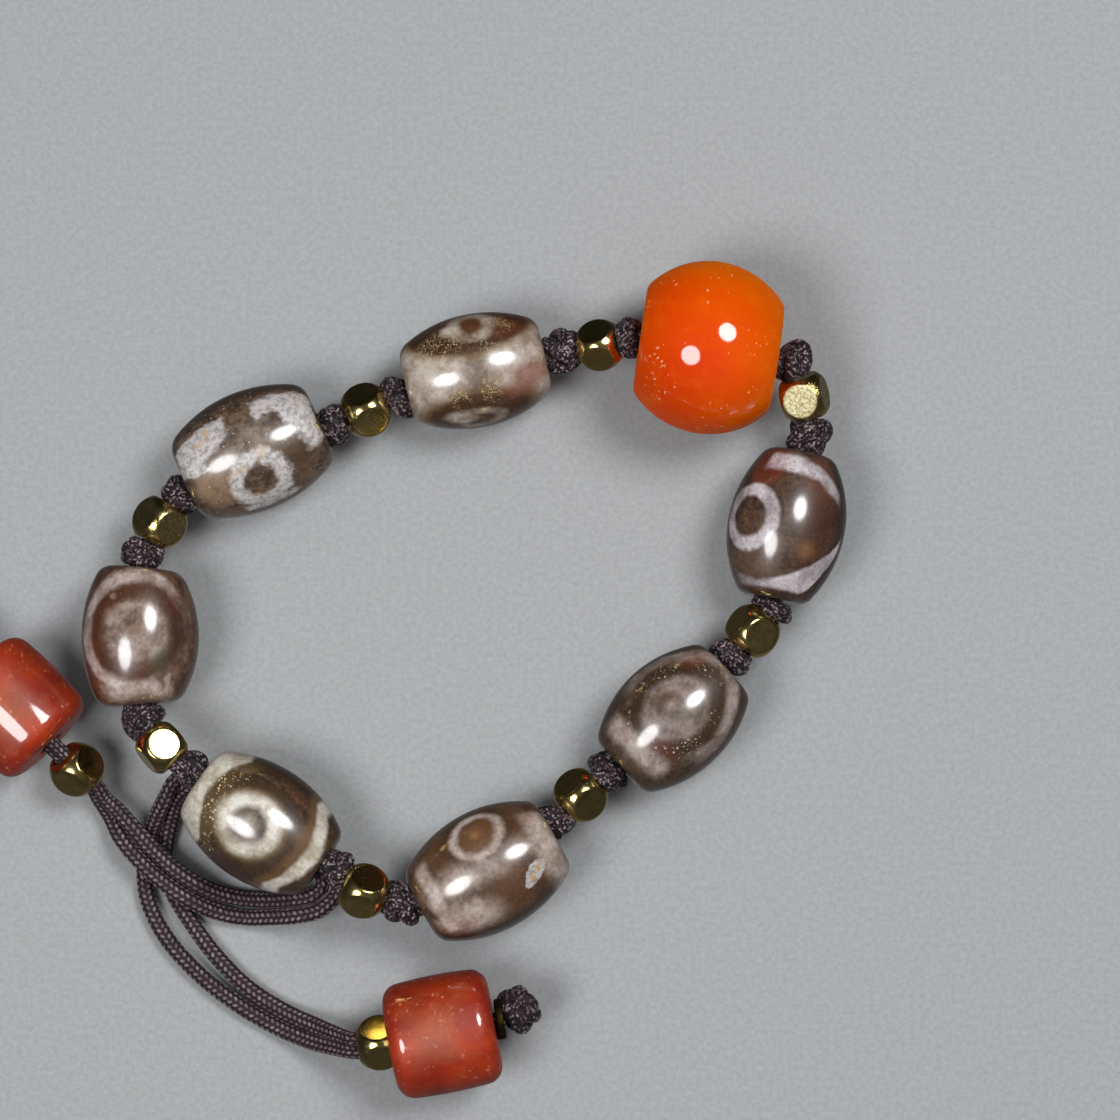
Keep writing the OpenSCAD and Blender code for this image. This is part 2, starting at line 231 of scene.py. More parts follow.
def grid_mesh(name, *grids):
    """A mesh from grids of points in millimetres. Each grid: points, closed along the first index, capped,
    and how high the braid stands at each point, or None."""
    verts, loops, starts, totals, crests = [], [], [], [], []
    base, used = 0, 0
    for points, closed, capped, crest in grids:
        m, n = points.shape[:2]
        verts.append(points.reshape(-1, 3) * MM)
        crests.append(np.zeros(m * n) if crest is None else crest.reshape(-1))
        a, b = np.meshgrid(np.arange(m if closed else m - 1), np.arange(n), indexing="ij")
        a2, b2 = (a + 1) % m, (b + 1) % n
        quads = base + np.stack([a * n + b, a * n + b2, a2 * n + b2, a2 * n + b], -1).reshape(-1)
        loops.append(quads)
        starts.append(used + np.arange(len(quads) // 4) * 4)
        totals.append(np.full(len(quads) // 4, 4))
        used += len(quads)
        if capped:
            for ring in (np.arange(n)[::-1], (m - 1) * n + np.arange(n)):
                loops.append(base + ring)
                starts.append([used])
                totals.append([n])
                used += n
        base += m * n
    verts, loops, starts, totals, crests = map(np.concatenate, (verts, loops, starts, totals, crests))
    mesh = bpy.data.meshes.new(name)
    for part, count in ((mesh.vertices, len(verts)), (mesh.loops, len(loops)), (mesh.polygons, len(starts))):
        part.add(count)
    mesh.vertices.foreach_set("co", verts.astype(np.float32).reshape(-1))
    mesh.loops.foreach_set("vertex_index", loops.astype(np.int32))
    mesh.polygons.foreach_set("loop_start", starts.astype(np.int32))
    mesh.polygons.foreach_set("loop_total", totals.astype(np.int32))
    mesh.polygons.foreach_set("use_smooth", np.ones(len(starts), bool))
    if any(grid[3] is not None for grid in grids):
        layer = mesh.attributes.new("crest", "FLOAT", "POINT")
        layer.data.foreach_set("value", crests.astype(np.float32))
    mesh.update()
    mesh.validate()
    return add(name, mesh)


def basis(direction, roll=0):
    """Columns: the direction, its left and its up, rolled about it."""
    x = unit(direction)
    y = unit(np.cross(UP, x))
    z = np.cross(x, y)
    a = math.radians(roll)
    return np.stack([x, math.cos(a) * y + math.sin(a) * z, -math.sin(a) * y + math.cos(a) * z], 1)


def smooth_path(points, step):
    """A centripetal spline through the points, as evenly spaced points, and each one's place in the list."""
    p = np.asarray(points, float)
    q = np.vstack([2 * p[0] - p[1], p, 2 * p[-1] - p[-2]])
    out, where = [], []
    for i in range(len(p) - 1):
        p0, p1, p2, p3 = q[i:i + 4]
        t = np.linspace(0, 1, 40, endpoint=False)[:, None]
        k0, k1, k2 = (norm(b - a) ** 0.5 for a, b in ((p0, p1), (p1, p2), (p2, p3)))
        m1 = (p2 - p1) + k1 * ((p1 - p0) / k0 - (p2 - p0) / (k0 + k1))
        m2 = (p2 - p1) + k1 * ((p3 - p2) / k2 - (p3 - p1) / (k1 + k2))
        rise = 3 * t ** 2 - 2 * t ** 3
        out.append((1 - rise) * p1 + (t ** 3 - 2 * t ** 2 + t) * m1 + rise * p2 + (t ** 3 - t ** 2) * m2)
        where.append(i + t[:, 0])
    out = np.vstack(out + [p[-1:]])
    where = np.concatenate(where + [[len(p) - 1]])
    s = distances(out)
    count = max(2, int(round(s[-1] / step)) + 1)
    at = np.linspace(0, s[-1], count)
    return np.stack([np.interp(at, s, out[:, k]) for k in range(3)], 1), np.interp(at, s, where)


def frames_along(path, closed=False):
    """Tangent, side and up at each point, carried along without twisting."""
    if closed:
        t = np.roll(path, -1, 0) - np.roll(path, 1, 0)
    else:
        t = np.gradient(path, axis=0)
    t /= norm(t, axis=1)[:, None]
    side = np.empty_like(path)
    first = np.cross(UP, t[0])
    side[0] = unit(first if norm(first) > 0.1 else np.cross([1.0, 0, 0], t[0]))
    for i in range(1, len(path)):
        v = side[i - 1] - t[i] * (side[i - 1] @ t[i])
        side[i] = v / norm(v)
    if closed:
        v = side[-1] - t[0] * (side[-1] @ t[0])
        v /= norm(v)
        off = math.atan2(np.cross(v, side[0]) @ t[0], v @ side[0])
        turn = off * np.arange(len(path)) / len(path)
        up = np.cross(t, side)
        side = np.cos(turn)[:, None] * side + np.sin(turn)[:, None] * up
    return t, side, np.cross(t, side)


def braid_crest(s, theta, phase):
    """How high the braid stands at a place along and around the cord: 0 in the gaps, 1 on a stitch."""
    width = 2 * math.pi / BRAID_COLUMNS
    best = np.zeros(np.broadcast(s, theta).shape)
    for off in (-1, 0, 1):
        j = np.round(theta / width) + off
        lean = np.where(j % 2 == 0, 1.0, -1.0)
        dw = (theta - j * width) / width
        shift = np.where(j % 2 == 0, 0.0, 0.5)
        u = s / BRAID_PITCH + shift + phase + lean * dw * BRAID_LEAN
        du = u - np.round(u)
        d2 = (du / STITCH_LEN) ** 2 + (dw / STITCH_WIDTH) ** 2
        best = np.maximum(best, np.sqrt(np.clip(1 - d2, 0, 1)))
    return best


def braided_tube(path, radius, around=44, phase=0, closed=False, depth=0.13):
    """The grid of a round braided cord with its stitches."""
    t, side, up = frames_along(path, closed)
    s = distances(path)
    if closed:
        total = s[-1] + norm(path[0] - path[-1])
        s = s * (round(total / BRAID_PITCH) * BRAID_PITCH / total)
    theta = 2 * math.pi * (np.arange(around) + 0.5) / around
    crest = braid_crest(s[:, None], theta[None], phase)
    r = radius[:, None] * (1 - depth + 1.25 * depth * crest)
    ring = np.cos(theta)[None, :, None] * side[:, None] + np.sin(theta)[None, :, None] * up[:, None]
    points = path[:, None] + r[..., None] * ring
    return points, closed, not closed, crest


# The cords
def slider_run(side):
    """Rows of a pair of strands inside the slider bead."""
    base = stone_centre(SLIDER) - SLIDER_RUN_DROP * UP
    return [(*(base + side * d * stone_axis(SLIDER)), *PINCHED, 0) for d in (GAP / 2, SLIDER_RUN)]


def end_run(end):
    """Rows of a pair of strands from its gold bead to its end knot."""
    g, a, reach = end_gold_centre(end), end_gold_axis(end), GOLD_FLATS / 2 + GAP
    out = along(end["heading"])
    last = cord_end(end) - STRAND_END_GAP * out
    stops = (g - reach * a, g + reach * a, red_mouth(end) + RED_RUN * out, last)
    return [(*p, *PINCHED, end["pair"]) for p in stops]


def strand_points(rows, side):
    """Points of one strand of a pair, to the left (side 1) or right (side -1) of the middle line."""
    mid = np.array([r[:3] for r in rows])
    legs = np.diff(mid, axis=0)
    legs /= norm(legs, axis=1)[:, None]
    out = []
    for i, (*_, apart, _, turn) in enumerate(rows):
        t = unit((legs[i - 1] if i else 0) + (legs[i] if i < len(legs) else 0))
        left = unit(np.cross(UP, t))
        a = math.radians(turn)
        away = math.cos(a) * left + math.sin(a) * np.cross(t, left)
        out.append(mid[i] + side * apart / 2 * PAIR_SHARE * away)
    return out


def strand(name, rows, side, phase):
    path, where = smooth_path(strand_points(rows, side), STRAND_STEP)
    share = np.interp(where, np.arange(len(rows)), [thickness for *_, thickness, _ in rows])
    points, *rest = braided_tube(path, share * STRAND_D / 2, phase=phase)
    points[..., 2] = np.maximum(points[..., 2], FLOOR_GAP)
    return grid_mesh(name, (points, *rest)), path


strands = {}
for label, slide, route, end in (("left", -1, LEFT_ROUTE, LEFT_END), ("right", 1, RIGHT_ROUTE, RIGHT_END)):
    rows = slider_run(slide) + route + end_run(end)
    for tag, side, phase in (("a", 1, 0), ("b", -1, 0.3)):
        strands[f"{label}_strand_{tag}"] = strand(f"{label}_cord_{tag}", rows, side, phase)


# Knots
def torus_knot(big, deep, half_len, phase, turns=3, lobes=4, count=320):
    """Middle line of a tight knot about the x axis."""
    t = 2 * math.pi * np.arange(count) / count
    r = big + deep * np.cos(lobes * t)
    a = turns * t + phase
    return np.stack([half_len * np.sin(lobes * t), r * np.cos(a), r * np.sin(a)], 1)


def even_closed(path, step):
    """Evenly spaced points of a closed path."""
    p = np.vstack([path, path[:1]])
    s = distances(p)
    count = int(round(s[-1] / step))
    at = np.arange(count) * s[-1] / count
    return np.stack([np.interp(at, s, p[:, k]) for k in range(3)], 1)


def lump(centre, axes, half_len, radius, bore, rng):
    """The solid middle of a knot, uneven, so that nothing shows between its wraps."""
    t = np.linspace(-1, 1, 15)[:, None]
    phi = 2 * math.pi * np.arange(28)[None] / 28
    r = bore + (radius - bore) * np.sqrt(1 - t * t)
    for k in (2, 3, 5):
        r = r * (1 + 0.05 * np.sin(k * phi + 2 * t + rng.uniform(0, 6.3)))
    x = np.broadcast_to(half_len * t, r.shape)
    points = np.stack([x, r * np.sin(phi), r * np.cos(phi)], -1)
    return centre + points @ axes.T, False, True, None


def knot(name, centre, direction, diameter, half_len, seed, loose=0.2):
    """Braided cord wound tightly over a lump. Loose: how unevenly it is wound, as a share of the radius."""
    rng = np.random.default_rng(seed)
    cord_r = min(KNOT_CORD_R, half_len * KNOT_CORD_SHARE)
    deep = diameter / 2 * loose
    big = diameter / 2 - cord_r * KNOT_MARGIN - deep
    path = torus_knot(big, deep, max(KNOT_MIN_REACH, half_len - cord_r), rng.uniform(0, 6.3))
    turn = np.arange(len(path))[:, None] * 2 * math.pi / len(path)
    sway = np.sin(turn * np.array([3, 4, 5]) + rng.uniform(0, 6.3, 3))
    path = path + loose * sway * np.array([0.5, 1, 1])
    path = even_closed(path, KNOT_STEP)
    axes = basis(direction, rng.uniform(0, 360))
    path = centre + path @ axes.T
    around = np.arange(len(path)) * 2 * math.pi / len(path)
    fat = cord_r * (1 + 0.1 * np.sin(7 * around + seed) + 0.08 * np.sin(11 * around + 2 * seed))
    tube = braided_tube(path, fat, around=32, phase=0.37 * seed, closed=True, depth=0.1)
    inside = lump(centre, axes, half_len * LUMP_SHARE, big + LUMP_FILL, LUMP_BORE_R, rng)
    return grid_mesh(name, tube, inside)


knots = {}
for k in range(1, 17):
    g = (k - 1) // 2
    s, side = (g, 1) if k % 2 else ((g + 1) % 8, -1)
    a, b = mouth(s, side), gold_face(g, -side)
    reach = norm(b - a) / 2
    centre = (a + b) / 2 + KNOT_SHIFTS[k - 1] * unit(np.cross(UP, b - a))
    size = SLIDER_KNOT_D if s == SLIDER else KNOT_D
    knots[f"knot_{k}"] = knot(f"wound_knot_{k}", centre, b - a, size, reach + KNOT_OVERLAP, k)
for label, end in ENDS:
    d = along(end["heading"] + end["knot"]) + math.sin(math.radians(END_KNOT_PITCH)) * UP
    centre = cord_end(end) + END_KNOT_LEN / 2 * unit(d) + np.array(END_KNOT_SHIFT)
    half_len, seed = END_KNOT_LEN * END_KNOT_SHARE, 5 if label == "left" else 9
    obj = knot(f"{label}_wound_end_knot", centre, d, END_KNOT_D, half_len, seed, loose=0.11)
    knots[f"{label}_end_knot"] = obj


# Beads
def barrel_profile(length, diameter, side_r, edge_r, bore, count=32):
    """Outline of a barrel bead from one mouth of the bore to the other: distance along, radius."""
    half = length / 2
    side_x = diameter / 2 - side_r
    edge_y = half - edge_r
    edge_x = side_x + math.sqrt((side_r - edge_r) ** 2 - edge_y ** 2)
    top = math.asin(edge_y / (side_r - edge_r))
    a = np.linspace(0, top, count)
    arc = np.stack([side_r * np.sin(a), side_x + side_r * np.cos(a)], 1)
    b = np.linspace(top, math.pi / 2, 16)[1:]
    edge = np.stack([edge_y + edge_r * np.sin(b), edge_x + edge_r * np.cos(b)], 1)
    flat_r = np.linspace(edge_x, bore / 2 + BORE_LIP, 8)[1:]
    flat = np.stack([np.full(len(flat_r), half), flat_r], 1)
    c = np.linspace(0, math.pi / 2, 6)[1:]
    lip = np.stack([half - BORE_LIP * (1 - np.cos(c)), bore / 2 + BORE_LIP * (1 - np.sin(c))], 1)
    right = np.vstack([arc, edge, flat, lip])
    left = right[::-1] * np.array([-1, 1])
    return np.vstack([left[:-1], right])


def turned_bead(name, centre, axes, profile, around=96, wobble=0, seed=0, slant=0):
    """A bead turned about its bore, with a little of the unevenness of hand grinding. Slant: of its ends."""
    phi = 2 * math.pi * np.arange(around) / around
    bore_walls = np.linspace(profile[-1], profile[0], 6)[1:-1]
    prof = np.vstack([profile, bore_walls])
    x, r = prof[:, 0:1], prof[:, 1:2]
    uneven = np.sin(2 * phi + seed) * 0.6 + np.sin(3 * phi + 2.1 * seed) * 0.4
    uneven = 1 + wobble * (uneven[None] * 0.5 + 0.5 * np.sin(x * 0.35 + phi[None] + seed) - 0.6)
    outside = np.clip((r - EVEN_RADIUS) / EVEN_BLEND, 0, 1)
    rr = r * (1 + (uneven - 1) * outside)
    y, z = rr * np.sin(phi)[None], rr * np.cos(phi)[None]
    points = np.stack([x * (1 + slant * y), y, z], -1)
    return grid_mesh(name, (centre + points @ axes.T, True, False, None))


def gold_bead(name, centre, axes, bore, share=1):
    """A cube with round facets, its edges worn a little, with its bore."""
    sharp, around, count = 110.0, 128, 96
    half, ball = GOLD_FLATS / 2, GOLD_BALL / 2
    start = math.atan2(bore / 2, half)
    alpha = np.linspace(start, math.pi - start, count)[:, None]
    phi = (2 * math.pi * np.arange(around) / around)[None]
    across, up = np.sin(phi), np.cos(phi)
    ahead = np.broadcast_to(np.cos(alpha), (count, around))
    d = np.stack([ahead, np.sin(alpha) * across, np.sin(alpha) * up], -1)
    r = ((np.abs(d) / half) ** sharp).sum(-1) + (1 / ball) ** sharp
    pts = d * (r ** (-1 / sharp))[..., None]
    wall = half * np.repeat(np.linspace(-1, 1, 5)[1:-1, None], around, 1)
    inner = np.stack([wall, 0 * wall + bore / 2 * across, 0 * wall + bore / 2 * up], -1)
    return grid_mesh(name, (centre + share * np.vstack([pts, inner]) @ axes.T, True, False, None))


beads = {}
for i, (*_, length, diameter, side_r, edge_r) in enumerate(STONES):
    bore = SLIDER_BORE if i == SLIDER else STONE_BORE
    prof = barrel_profile(length, diameter, side_r, edge_r, bore)
    centre = stone_centre(i) + (np.array(SLIDER_SHIFT) if i == SLIDER else 0)
    beads[STONE_NAMES[i]] = turned_bead(
        STONE_NAMES[i] + "_stone", centre, basis(stone_axis(i)), prof,
        wobble=STONE_WOBBLE, seed=i + 1, slant=STONE_SLANT if i == SLANTED else 0)
for label, end in ENDS:
    out = along(end["heading"])
    centre = red_centre(end) + (RED_LEN / 2 + GAP + SPACER_T / 2) * out + np.array(SPACER_SHIFT)
    prof = barrel_profile(SPACER_T, SPACER_D, SPACER_SIDE_R, SPACER_EDGE, SPACER_BORE, 12)
    beads[f"{label}_spacer"] = turned_bead(f"{label}_disc", centre, basis(out), prof, around=64)


def swung(v, degrees):
    """The vector turned about a vertical axis."""
    c, s = along(degrees)[:2]
    return np.array([c * v[0] - s * v[1], s * v[0] + c * v[1], v[2]])


def gold_axes(i):
    """As modelled, but for two beads that sit a little turned on their cord."""
    if i == 3:
        return basis(swung(gold_axis(i), GOLD_4_TURN), GOLD_4_ROLL)
    if i == 4:
        return basis(gold_axis(i) * np.array([1, 1, 0]), GOLD_5_ROLL)
    return basis(gold_axis(i), GOLDS[i][2])


def end_gold_axes(end):
    return basis(end_gold_axis(end), END_ROLL)


def red_axes(end):
    return basis(along(end["heading"] + (RED_TURN if end is RIGHT_END else 0)))


for i in range(8):
    beads[f"gold_bead_{i + 1}"] = gold_bead(
        f"gold_cube_{i + 1}", gold_centre(i), gold_axes(i), GOLD_BORE,
        SMALL_GOLD_SHARE if i in SMALL_GOLDS else 1)
for label, end in ENDS:
    beads[f"{label}_gold_bead"] = gold_bead(
        f"{label}_gold_cube", end_gold_centre(end), end_gold_axes(end), END_BORE)
    diameter = RED_D * (1 + RED_GROWTH * (end["size"] - 1))
    prof = barrel_profile(RED_LEN, diameter, RED_SIDE_R, RED_EDGE, END_BORE)
    beads[f"{label}_red_bead"] = turned_bead(
        f"{label}_red_drum", red_centre(end), red_axes(end), prof, wobble=RED_WOBBLE, seed=len(label))


# Node materials. Colours are sRGB values from 0 to 255.
def linear(colour):
    return tuple((c / 255) / 12.92 if c <= 10 else ((c / 255 + 0.055) / 1.055) ** 2.4 for c in colour)


def operation(op):
    """A method of Field that adds a Math node."""
    return lambda field, *others: field.apply(op, *others)


class Field:
    """A number that varies over the surface, with ordinary arithmetic."""

    def __init__(self, mat, socket):
        self.mat, self.socket = mat, socket

    def apply(self, op, *others, clamp=False):
        node = self.mat.node("Math")
        node.operation, node.use_clamp = op, clamp
        for socket, value in zip(node.inputs, (self, *others)):
            self.mat.put(socket, value)
        return Field(self.mat, node.outputs[0])

    __add__ = __radd__ = operation("ADD")
    __sub__ = operation("SUBTRACT")
    __mul__ = __rmul__ = operation("MULTIPLY")
    atan2 = operation("ARCTAN2")
    max = operation("MAXIMUM")
    min = operation("MINIMUM")
    abs = operation("ABSOLUTE")
    sqrt = operation("SQRT")

    def __neg__(self):
        return self * -1.0

    def __rsub__(self, o):
        return -self + o

    def clamp(self):
        return self.apply("ADD", 0.0, clamp=True)

    def step(self, low, high):
        """0 below low, 1 above high, smooth between."""
        node = self.mat.node("MapRange", Value=self, From_Min=low, From_Max=high)
        node.interpolation_type = "SMOOTHSTEP"
        return Field(self.mat, node.outputs["Result"])

    def below(self, low, high):
        return 1.0 - self.step(low, high)

    def within(self, low, high, soft):
        """1 between low and high, 0 outside, smooth over the soft width on both sides of each."""
        return (self - low).step(-soft, soft) * (self - high).below(-soft, soft)


class Mat:
    """A material or world under construction, with short ways to add its nodes."""

    def __init__(self, name, kind=bpy.data.materials, shader="Principled BSDF"):
        self.material = kind.new(name)
        self.material.use_nodes = True
        self.tree = self.material.node_tree
        self.shader = self.tree.nodes[shader]
        self.coords = self.node("TexCoord").outputs

    def put(self, socket, value):
        """A field or another node's socket is linked, a constant is set."""
        if isinstance(value, Field):
            value = value.socket
        if isinstance(value, bpy.types.NodeSocket):
            self.tree.links.new(value, socket)
        else:
            socket.default_value = value

    def fill(self, node, values):
        for name, value in values.items():
            self.put(node.inputs[name.replace("_", " ")], value)

    def set(self, **values):
        """Fills sockets of the shader, by their names."""
        self.fill(self.shader, values)

    def node(self, kind, **values):
        """A new node with its sockets filled, by their names."""
        node = self.tree.nodes.new("ShaderNode" + kind)
        self.fill(node, values)
        return node

    def local(self, centre=(0, 0, 0), axes=np.eye(3)):
        """Place on the piece in millimetres from its centre: along the bore, sideways, up."""
        node = self.node("Mapping", Vector=self.coords["Object"], Location=[float(c) * MM for c in centre],
                         Rotation=Matrix(axes.tolist()).to_euler(), Scale=(MM, MM, MM))
        node.vector_type = "TEXTURE"
        return node.outputs["Vector"]

    def split(self, vector):
        return [Field(self, s) for s in self.node("SeparateXYZ", Vector=vector).outputs]

    def join(self, x, y, z):
        return self.node("CombineXYZ", X=x, Y=y, Z=z).outputs[0]

    def noise(self, vector, scale, detail=2.0, rough=0.5, distortion=0.0):
        node = self.node("TexNoise", Vector=vector, Scale=scale, Detail=detail, Roughness=rough,
                         Distortion=distortion)
        return Field(self, node.outputs["Fac"])

    def flecks(self, vector, scale, size, share, core):
        """Round flecks that lie apart, in the stated share of the cells. Core: the full part of each."""
        cell = self.node("TexVoronoi", Vector=vector, Scale=scale)
        near = Field(self, cell.outputs["Distance"]).below(size * core, size)
        return near * self.channel(cell.outputs["Color"]).step(1.0 - share, 1.02 - share)

    def channel(self, color, k=0):
        return Field(self, self.node("SeparateColor", Color=color).outputs[k])

    def mix(self, factor, a, b):
        """Colour a where factor is 0, b where it is 1."""
        node = self.node("Mix", Factor=factor)
        node.data_type = "RGBA"
        for socket, colour in zip(node.inputs[6:8], (a, b)):
            self.put(socket, (*linear(colour), 1.0) if isinstance(colour, tuple) else colour)
        return node.outputs[2]

    def attribute(self, name):
        node = self.node("Attribute")
        node.attribute_name = name
        return Field(self, node.outputs["Fac"])

    def bump(self, height, strength, distance):
        return self.node("Bump", Height=height, Strength=strength, Distance=distance).outputs["Normal"]


class Stone(Mat):
    """What the etched beads share: places on the bead, warped a little, and the stone's own mottling."""

    def __init__(self, i, warp=0.35):
        *_, length, diameter, _, _ = STONES[i]
        super().__init__(STONE_NAMES[i] + "_stone")
        self.p = self.local(stone_centre(i), basis(stone_axis(i)))
        x, y, z = self.split(self.p)
        self.straight_x = x
        self.half = length / 2
        self.q = self.join(x + 31 * i, y, z)
        self.x = x + (self.noise(self.q, 0.3, 3, 0.55) - 0.5) * (2.4 * warp)
        w = y.atan2(z.abs()) * (diameter / 2)
        shifted = self.join(x, y + 17 + 13 * i, z)
        self.w = w + (self.noise(shifted, 0.3, 3, 0.55) - 0.5) * (2.4 * warp)
        self.cloud = self.noise(self.join(x, y - 9 * i, z + 40), 0.45, 3, 0.55)
        self.fine = self.noise(self.q, 1.9, 4, 0.6)

    def far_from(self, cx, cw, sx=1, sw=1, turn=0):
        """Distance from a place on the surface, with the axes stretched by sx and sw and turned."""
        dx, dw = self.x - cx, self.w - cw
        if turn:
            c, s = along(turn)[:2]
            dx, dw = dx * c + dw * s, dw * c - dx * s
        dx, dw = dx * (1 / sx), dw * (1 / sw)
        return (dx * dx + dw * dw).sqrt()

    def disc(self, cx, cw, r, soft=0.3, sx=1, sw=1, turn=0):
        return self.far_from(cx, cw, sx, sw, turn).below(r - soft, r + soft)

    def ring(self, cx, cw, r_in, r_out, soft):
        return self.far_from(cx, cw).within(r_in, r_out, soft)

    def box(self, x0, x1, w0, w1, soft):
        return self.x.within(x0, x1, soft) * self.w.within(w0, w1, soft)

    def grains(self, scale, size, share, where):
        """Small grains within a zone."""
        return self.flecks(self.q, scale, size, share + 0.02, 0.45) * where

    def finish(self, pale, colours, tints, pores, ragged=1.1, crust=None, speckles=None, grain=None,
               bits=(4.2, 0.42, 0.6)):
        """Pale: zone of the rings and bands, in some beads with a faint painted highlight haze. Colours: deep
        brown,
        brown, pale, pale shade. Tints: zones with a colour of their own, and in most beads a darker flank,
        which
        is painted shade. Pores, ragged: how strong the dark pores are, how broken the pale zone is.
        Crust: zone of white crust. Speckles: zone of bright grains. Bits: their scale, size and share."""
        deep, brown, light, shade = colours
        mottle = self.cloud * 0.55 + self.fine * 0.45
        base = self.mix(mottle.step(0.4, 0.6), deep, brown)
        ends = self.straight_x.abs().step(self.half - 1.2, self.half + 0.1)
        base = self.mix(ends * 0.5, base, deep)
        for zone, tone in tints:
            base = self.mix(zone * (mottle * 1.6 + 0.1).clamp(), base, tone)
        pale = pale.clamp()
        pale = (pale + (self.cloud * 0.72 + self.fine * 0.28 - 0.5) * pale.sqrt() * ragged).clamp()
        soft = (self.cloud * 0.65 + self.fine * 0.35).step(0.36, 0.64)
        colour = self.mix(pale, base, self.mix(soft, shade, light))
        grit = self.noise(self.q, 3.6, 4, 0.7)
        colour = self.mix(grit.step(0.52, 0.74) * 0.1, colour, (214, 196, 176))
        colour = self.mix(grit.below(0.3, 0.48) * 0.24, colour, (40, 24, 16))
        height = self.fine
        if crust is not None:
            lumps = self.noise(self.q, 1.9, 5, 0.66)
            tone = self.mix(lumps.step(0.36, 0.6), (158, 151, 149), (210, 206, 204))
            spots = self.noise(self.q, 0.55, 2).step(0.6, 0.7)
            tone = self.mix(spots * 0.6, tone, (208, 170, 122))
            colour = self.mix(crust, colour, tone)
            height = height + crust * 2 + lumps * crust
        if pores:
            specks = self.grains(2.6, 0.3, 0.35, pale).max(self.grains(4.4, 0.34, 0.4, pale) * 0.7)
            colour = self.mix(specks * pores, colour, (86, 40, 34))
        if speckles is not None:
            scale, size, share = bits
            small = self.grains(scale * 1.7, size, share, speckles)
            dots = self.grains(scale, size, share, speckles).max(small * 0.8)
            colour = self.mix(dots * 0.9, colour, grain)
            height = height + dots * 1.5
        self.set(Base_Color=colour, Roughness=self.fine * 0.1 + 0.36, Specular_IOR_Level=0.7,
                 Coat_Weight=1, Coat_IOR=1.7, Coat_Roughness=0.15, Subsurface_Weight=0.1,
                 Subsurface_Radius=(1, 0.7, 0.5), Subsurface_Scale=0.0008,
                 Normal=self.bump(height, 0.05, 0.0002))
        return self.material


def dzi_1():
    m = Stone(1)
    up = m.w.max(0)
    pale = m.ring(0.15, -4.9, 2.3, 3.7, 0.3)
    arch = m.x - up * up * 0.07
    fade = 1 - m.w.step(5.2, 7.2) * 0.8 - m.w.step(0.4, 2.4) * 0.3
    pale = pale.max(arch.within(-7.2, -5.4, 0.4) * fade * (-m.w).below(4, 5.4))
    inner = m.x + m.w * 0.33 + m.w * m.w * 0.05 - 6
    rim = (m.w - 4).max(0)
    outer = m.x + rim * rim * 0.4 - 7.25
    wedge = inner.step(-0.25, 0.35) * outer.below(-0.25, 0.25)
    wedge = wedge * ((m.w + 8).step(0, 2) * 0.5 + (m.w + 4.6).step(0, 3) * 0.5)
    pale = pale.max(wedge * m.w.below(7, 8.2))
    tints = ((m.disc(-0.5, 3.2, 2.3, 1.5, sx=2) * 0.9, (72, 38, 22)),
             (m.disc(-5.4, 3.4, 2.4, 1.2) * 0.8, (108, 66, 50)),
             (m.disc(-5.6, -4.6, 2.2, 1.2) * 0.7, (92, 40, 26)),
             # Painted shade: the flank beyond w = 5 darker, where the bead turns away from the lamps.
             (m.w.step(5, 7), (48, 30, 20)),
             (m.disc(2.6, 2.6, 0.9, 0.7) * 0.7, (132, 92, 52)),
             (m.disc(4.8, -4.8, 2.4, 1.3) * 0.5, (118, 92, 76)))
    return m.finish(pale, ((58, 37, 24), (92, 68, 50), (216, 210, 214), (178, 166, 170)), tints,
                    pores=0.95, ragged=1.9)


def dzi_2():
    m = Stone(2, 0.45)
    ring = m.far_from(-0.8, -0.6, 1.08, 0.98)
    pale = ring.below(2, 4) * 0.42
    pale = pale.max(ring.within(2.6, 3.6, 0.6) * 0.42)
    pale = pale.max(m.x.within(4.2, 6.1, 0.7) * m.w.within(-6.2, 4.6, 1.2))
    pale = pale.max(ring.within(5.8, 7.6, 0.6) * m.x.below(0, 3) * 0.75)
    core = m.ring(-0.6, -1.2, 0.5, 1.5, 0.4)
    tints = ((ring.within(3.6, 5.4, 0.7) * 0.9, (62, 42, 26)),
             (m.box(2.6, 4.2, 0.4, 3.8, 0.7) * 0.8, (92, 46, 30)),
             (m.disc(-1.4, -2, 1, 0.7, sx=1.5) * 0.7, (96, 60, 40)),
             # Painted shade: both flanks darker, where the bead turns away from the lamps.
             (m.w.abs().step(5.8, 8) * 0.8, (58, 42, 30)))
    where = ring.within(3.6, 5.6, 0.5) * m.noise(m.q, 0.3, 2).step(0.42, 0.52)
    return m.finish(pale - core * 0.3, ((56, 38, 24), (88, 64, 46), (190, 176, 170), (146, 126, 114)), tints,
                    speckles=where, grain=(204, 198, 178), bits=(1.9, 0.3, 0.5), pores=0.4)


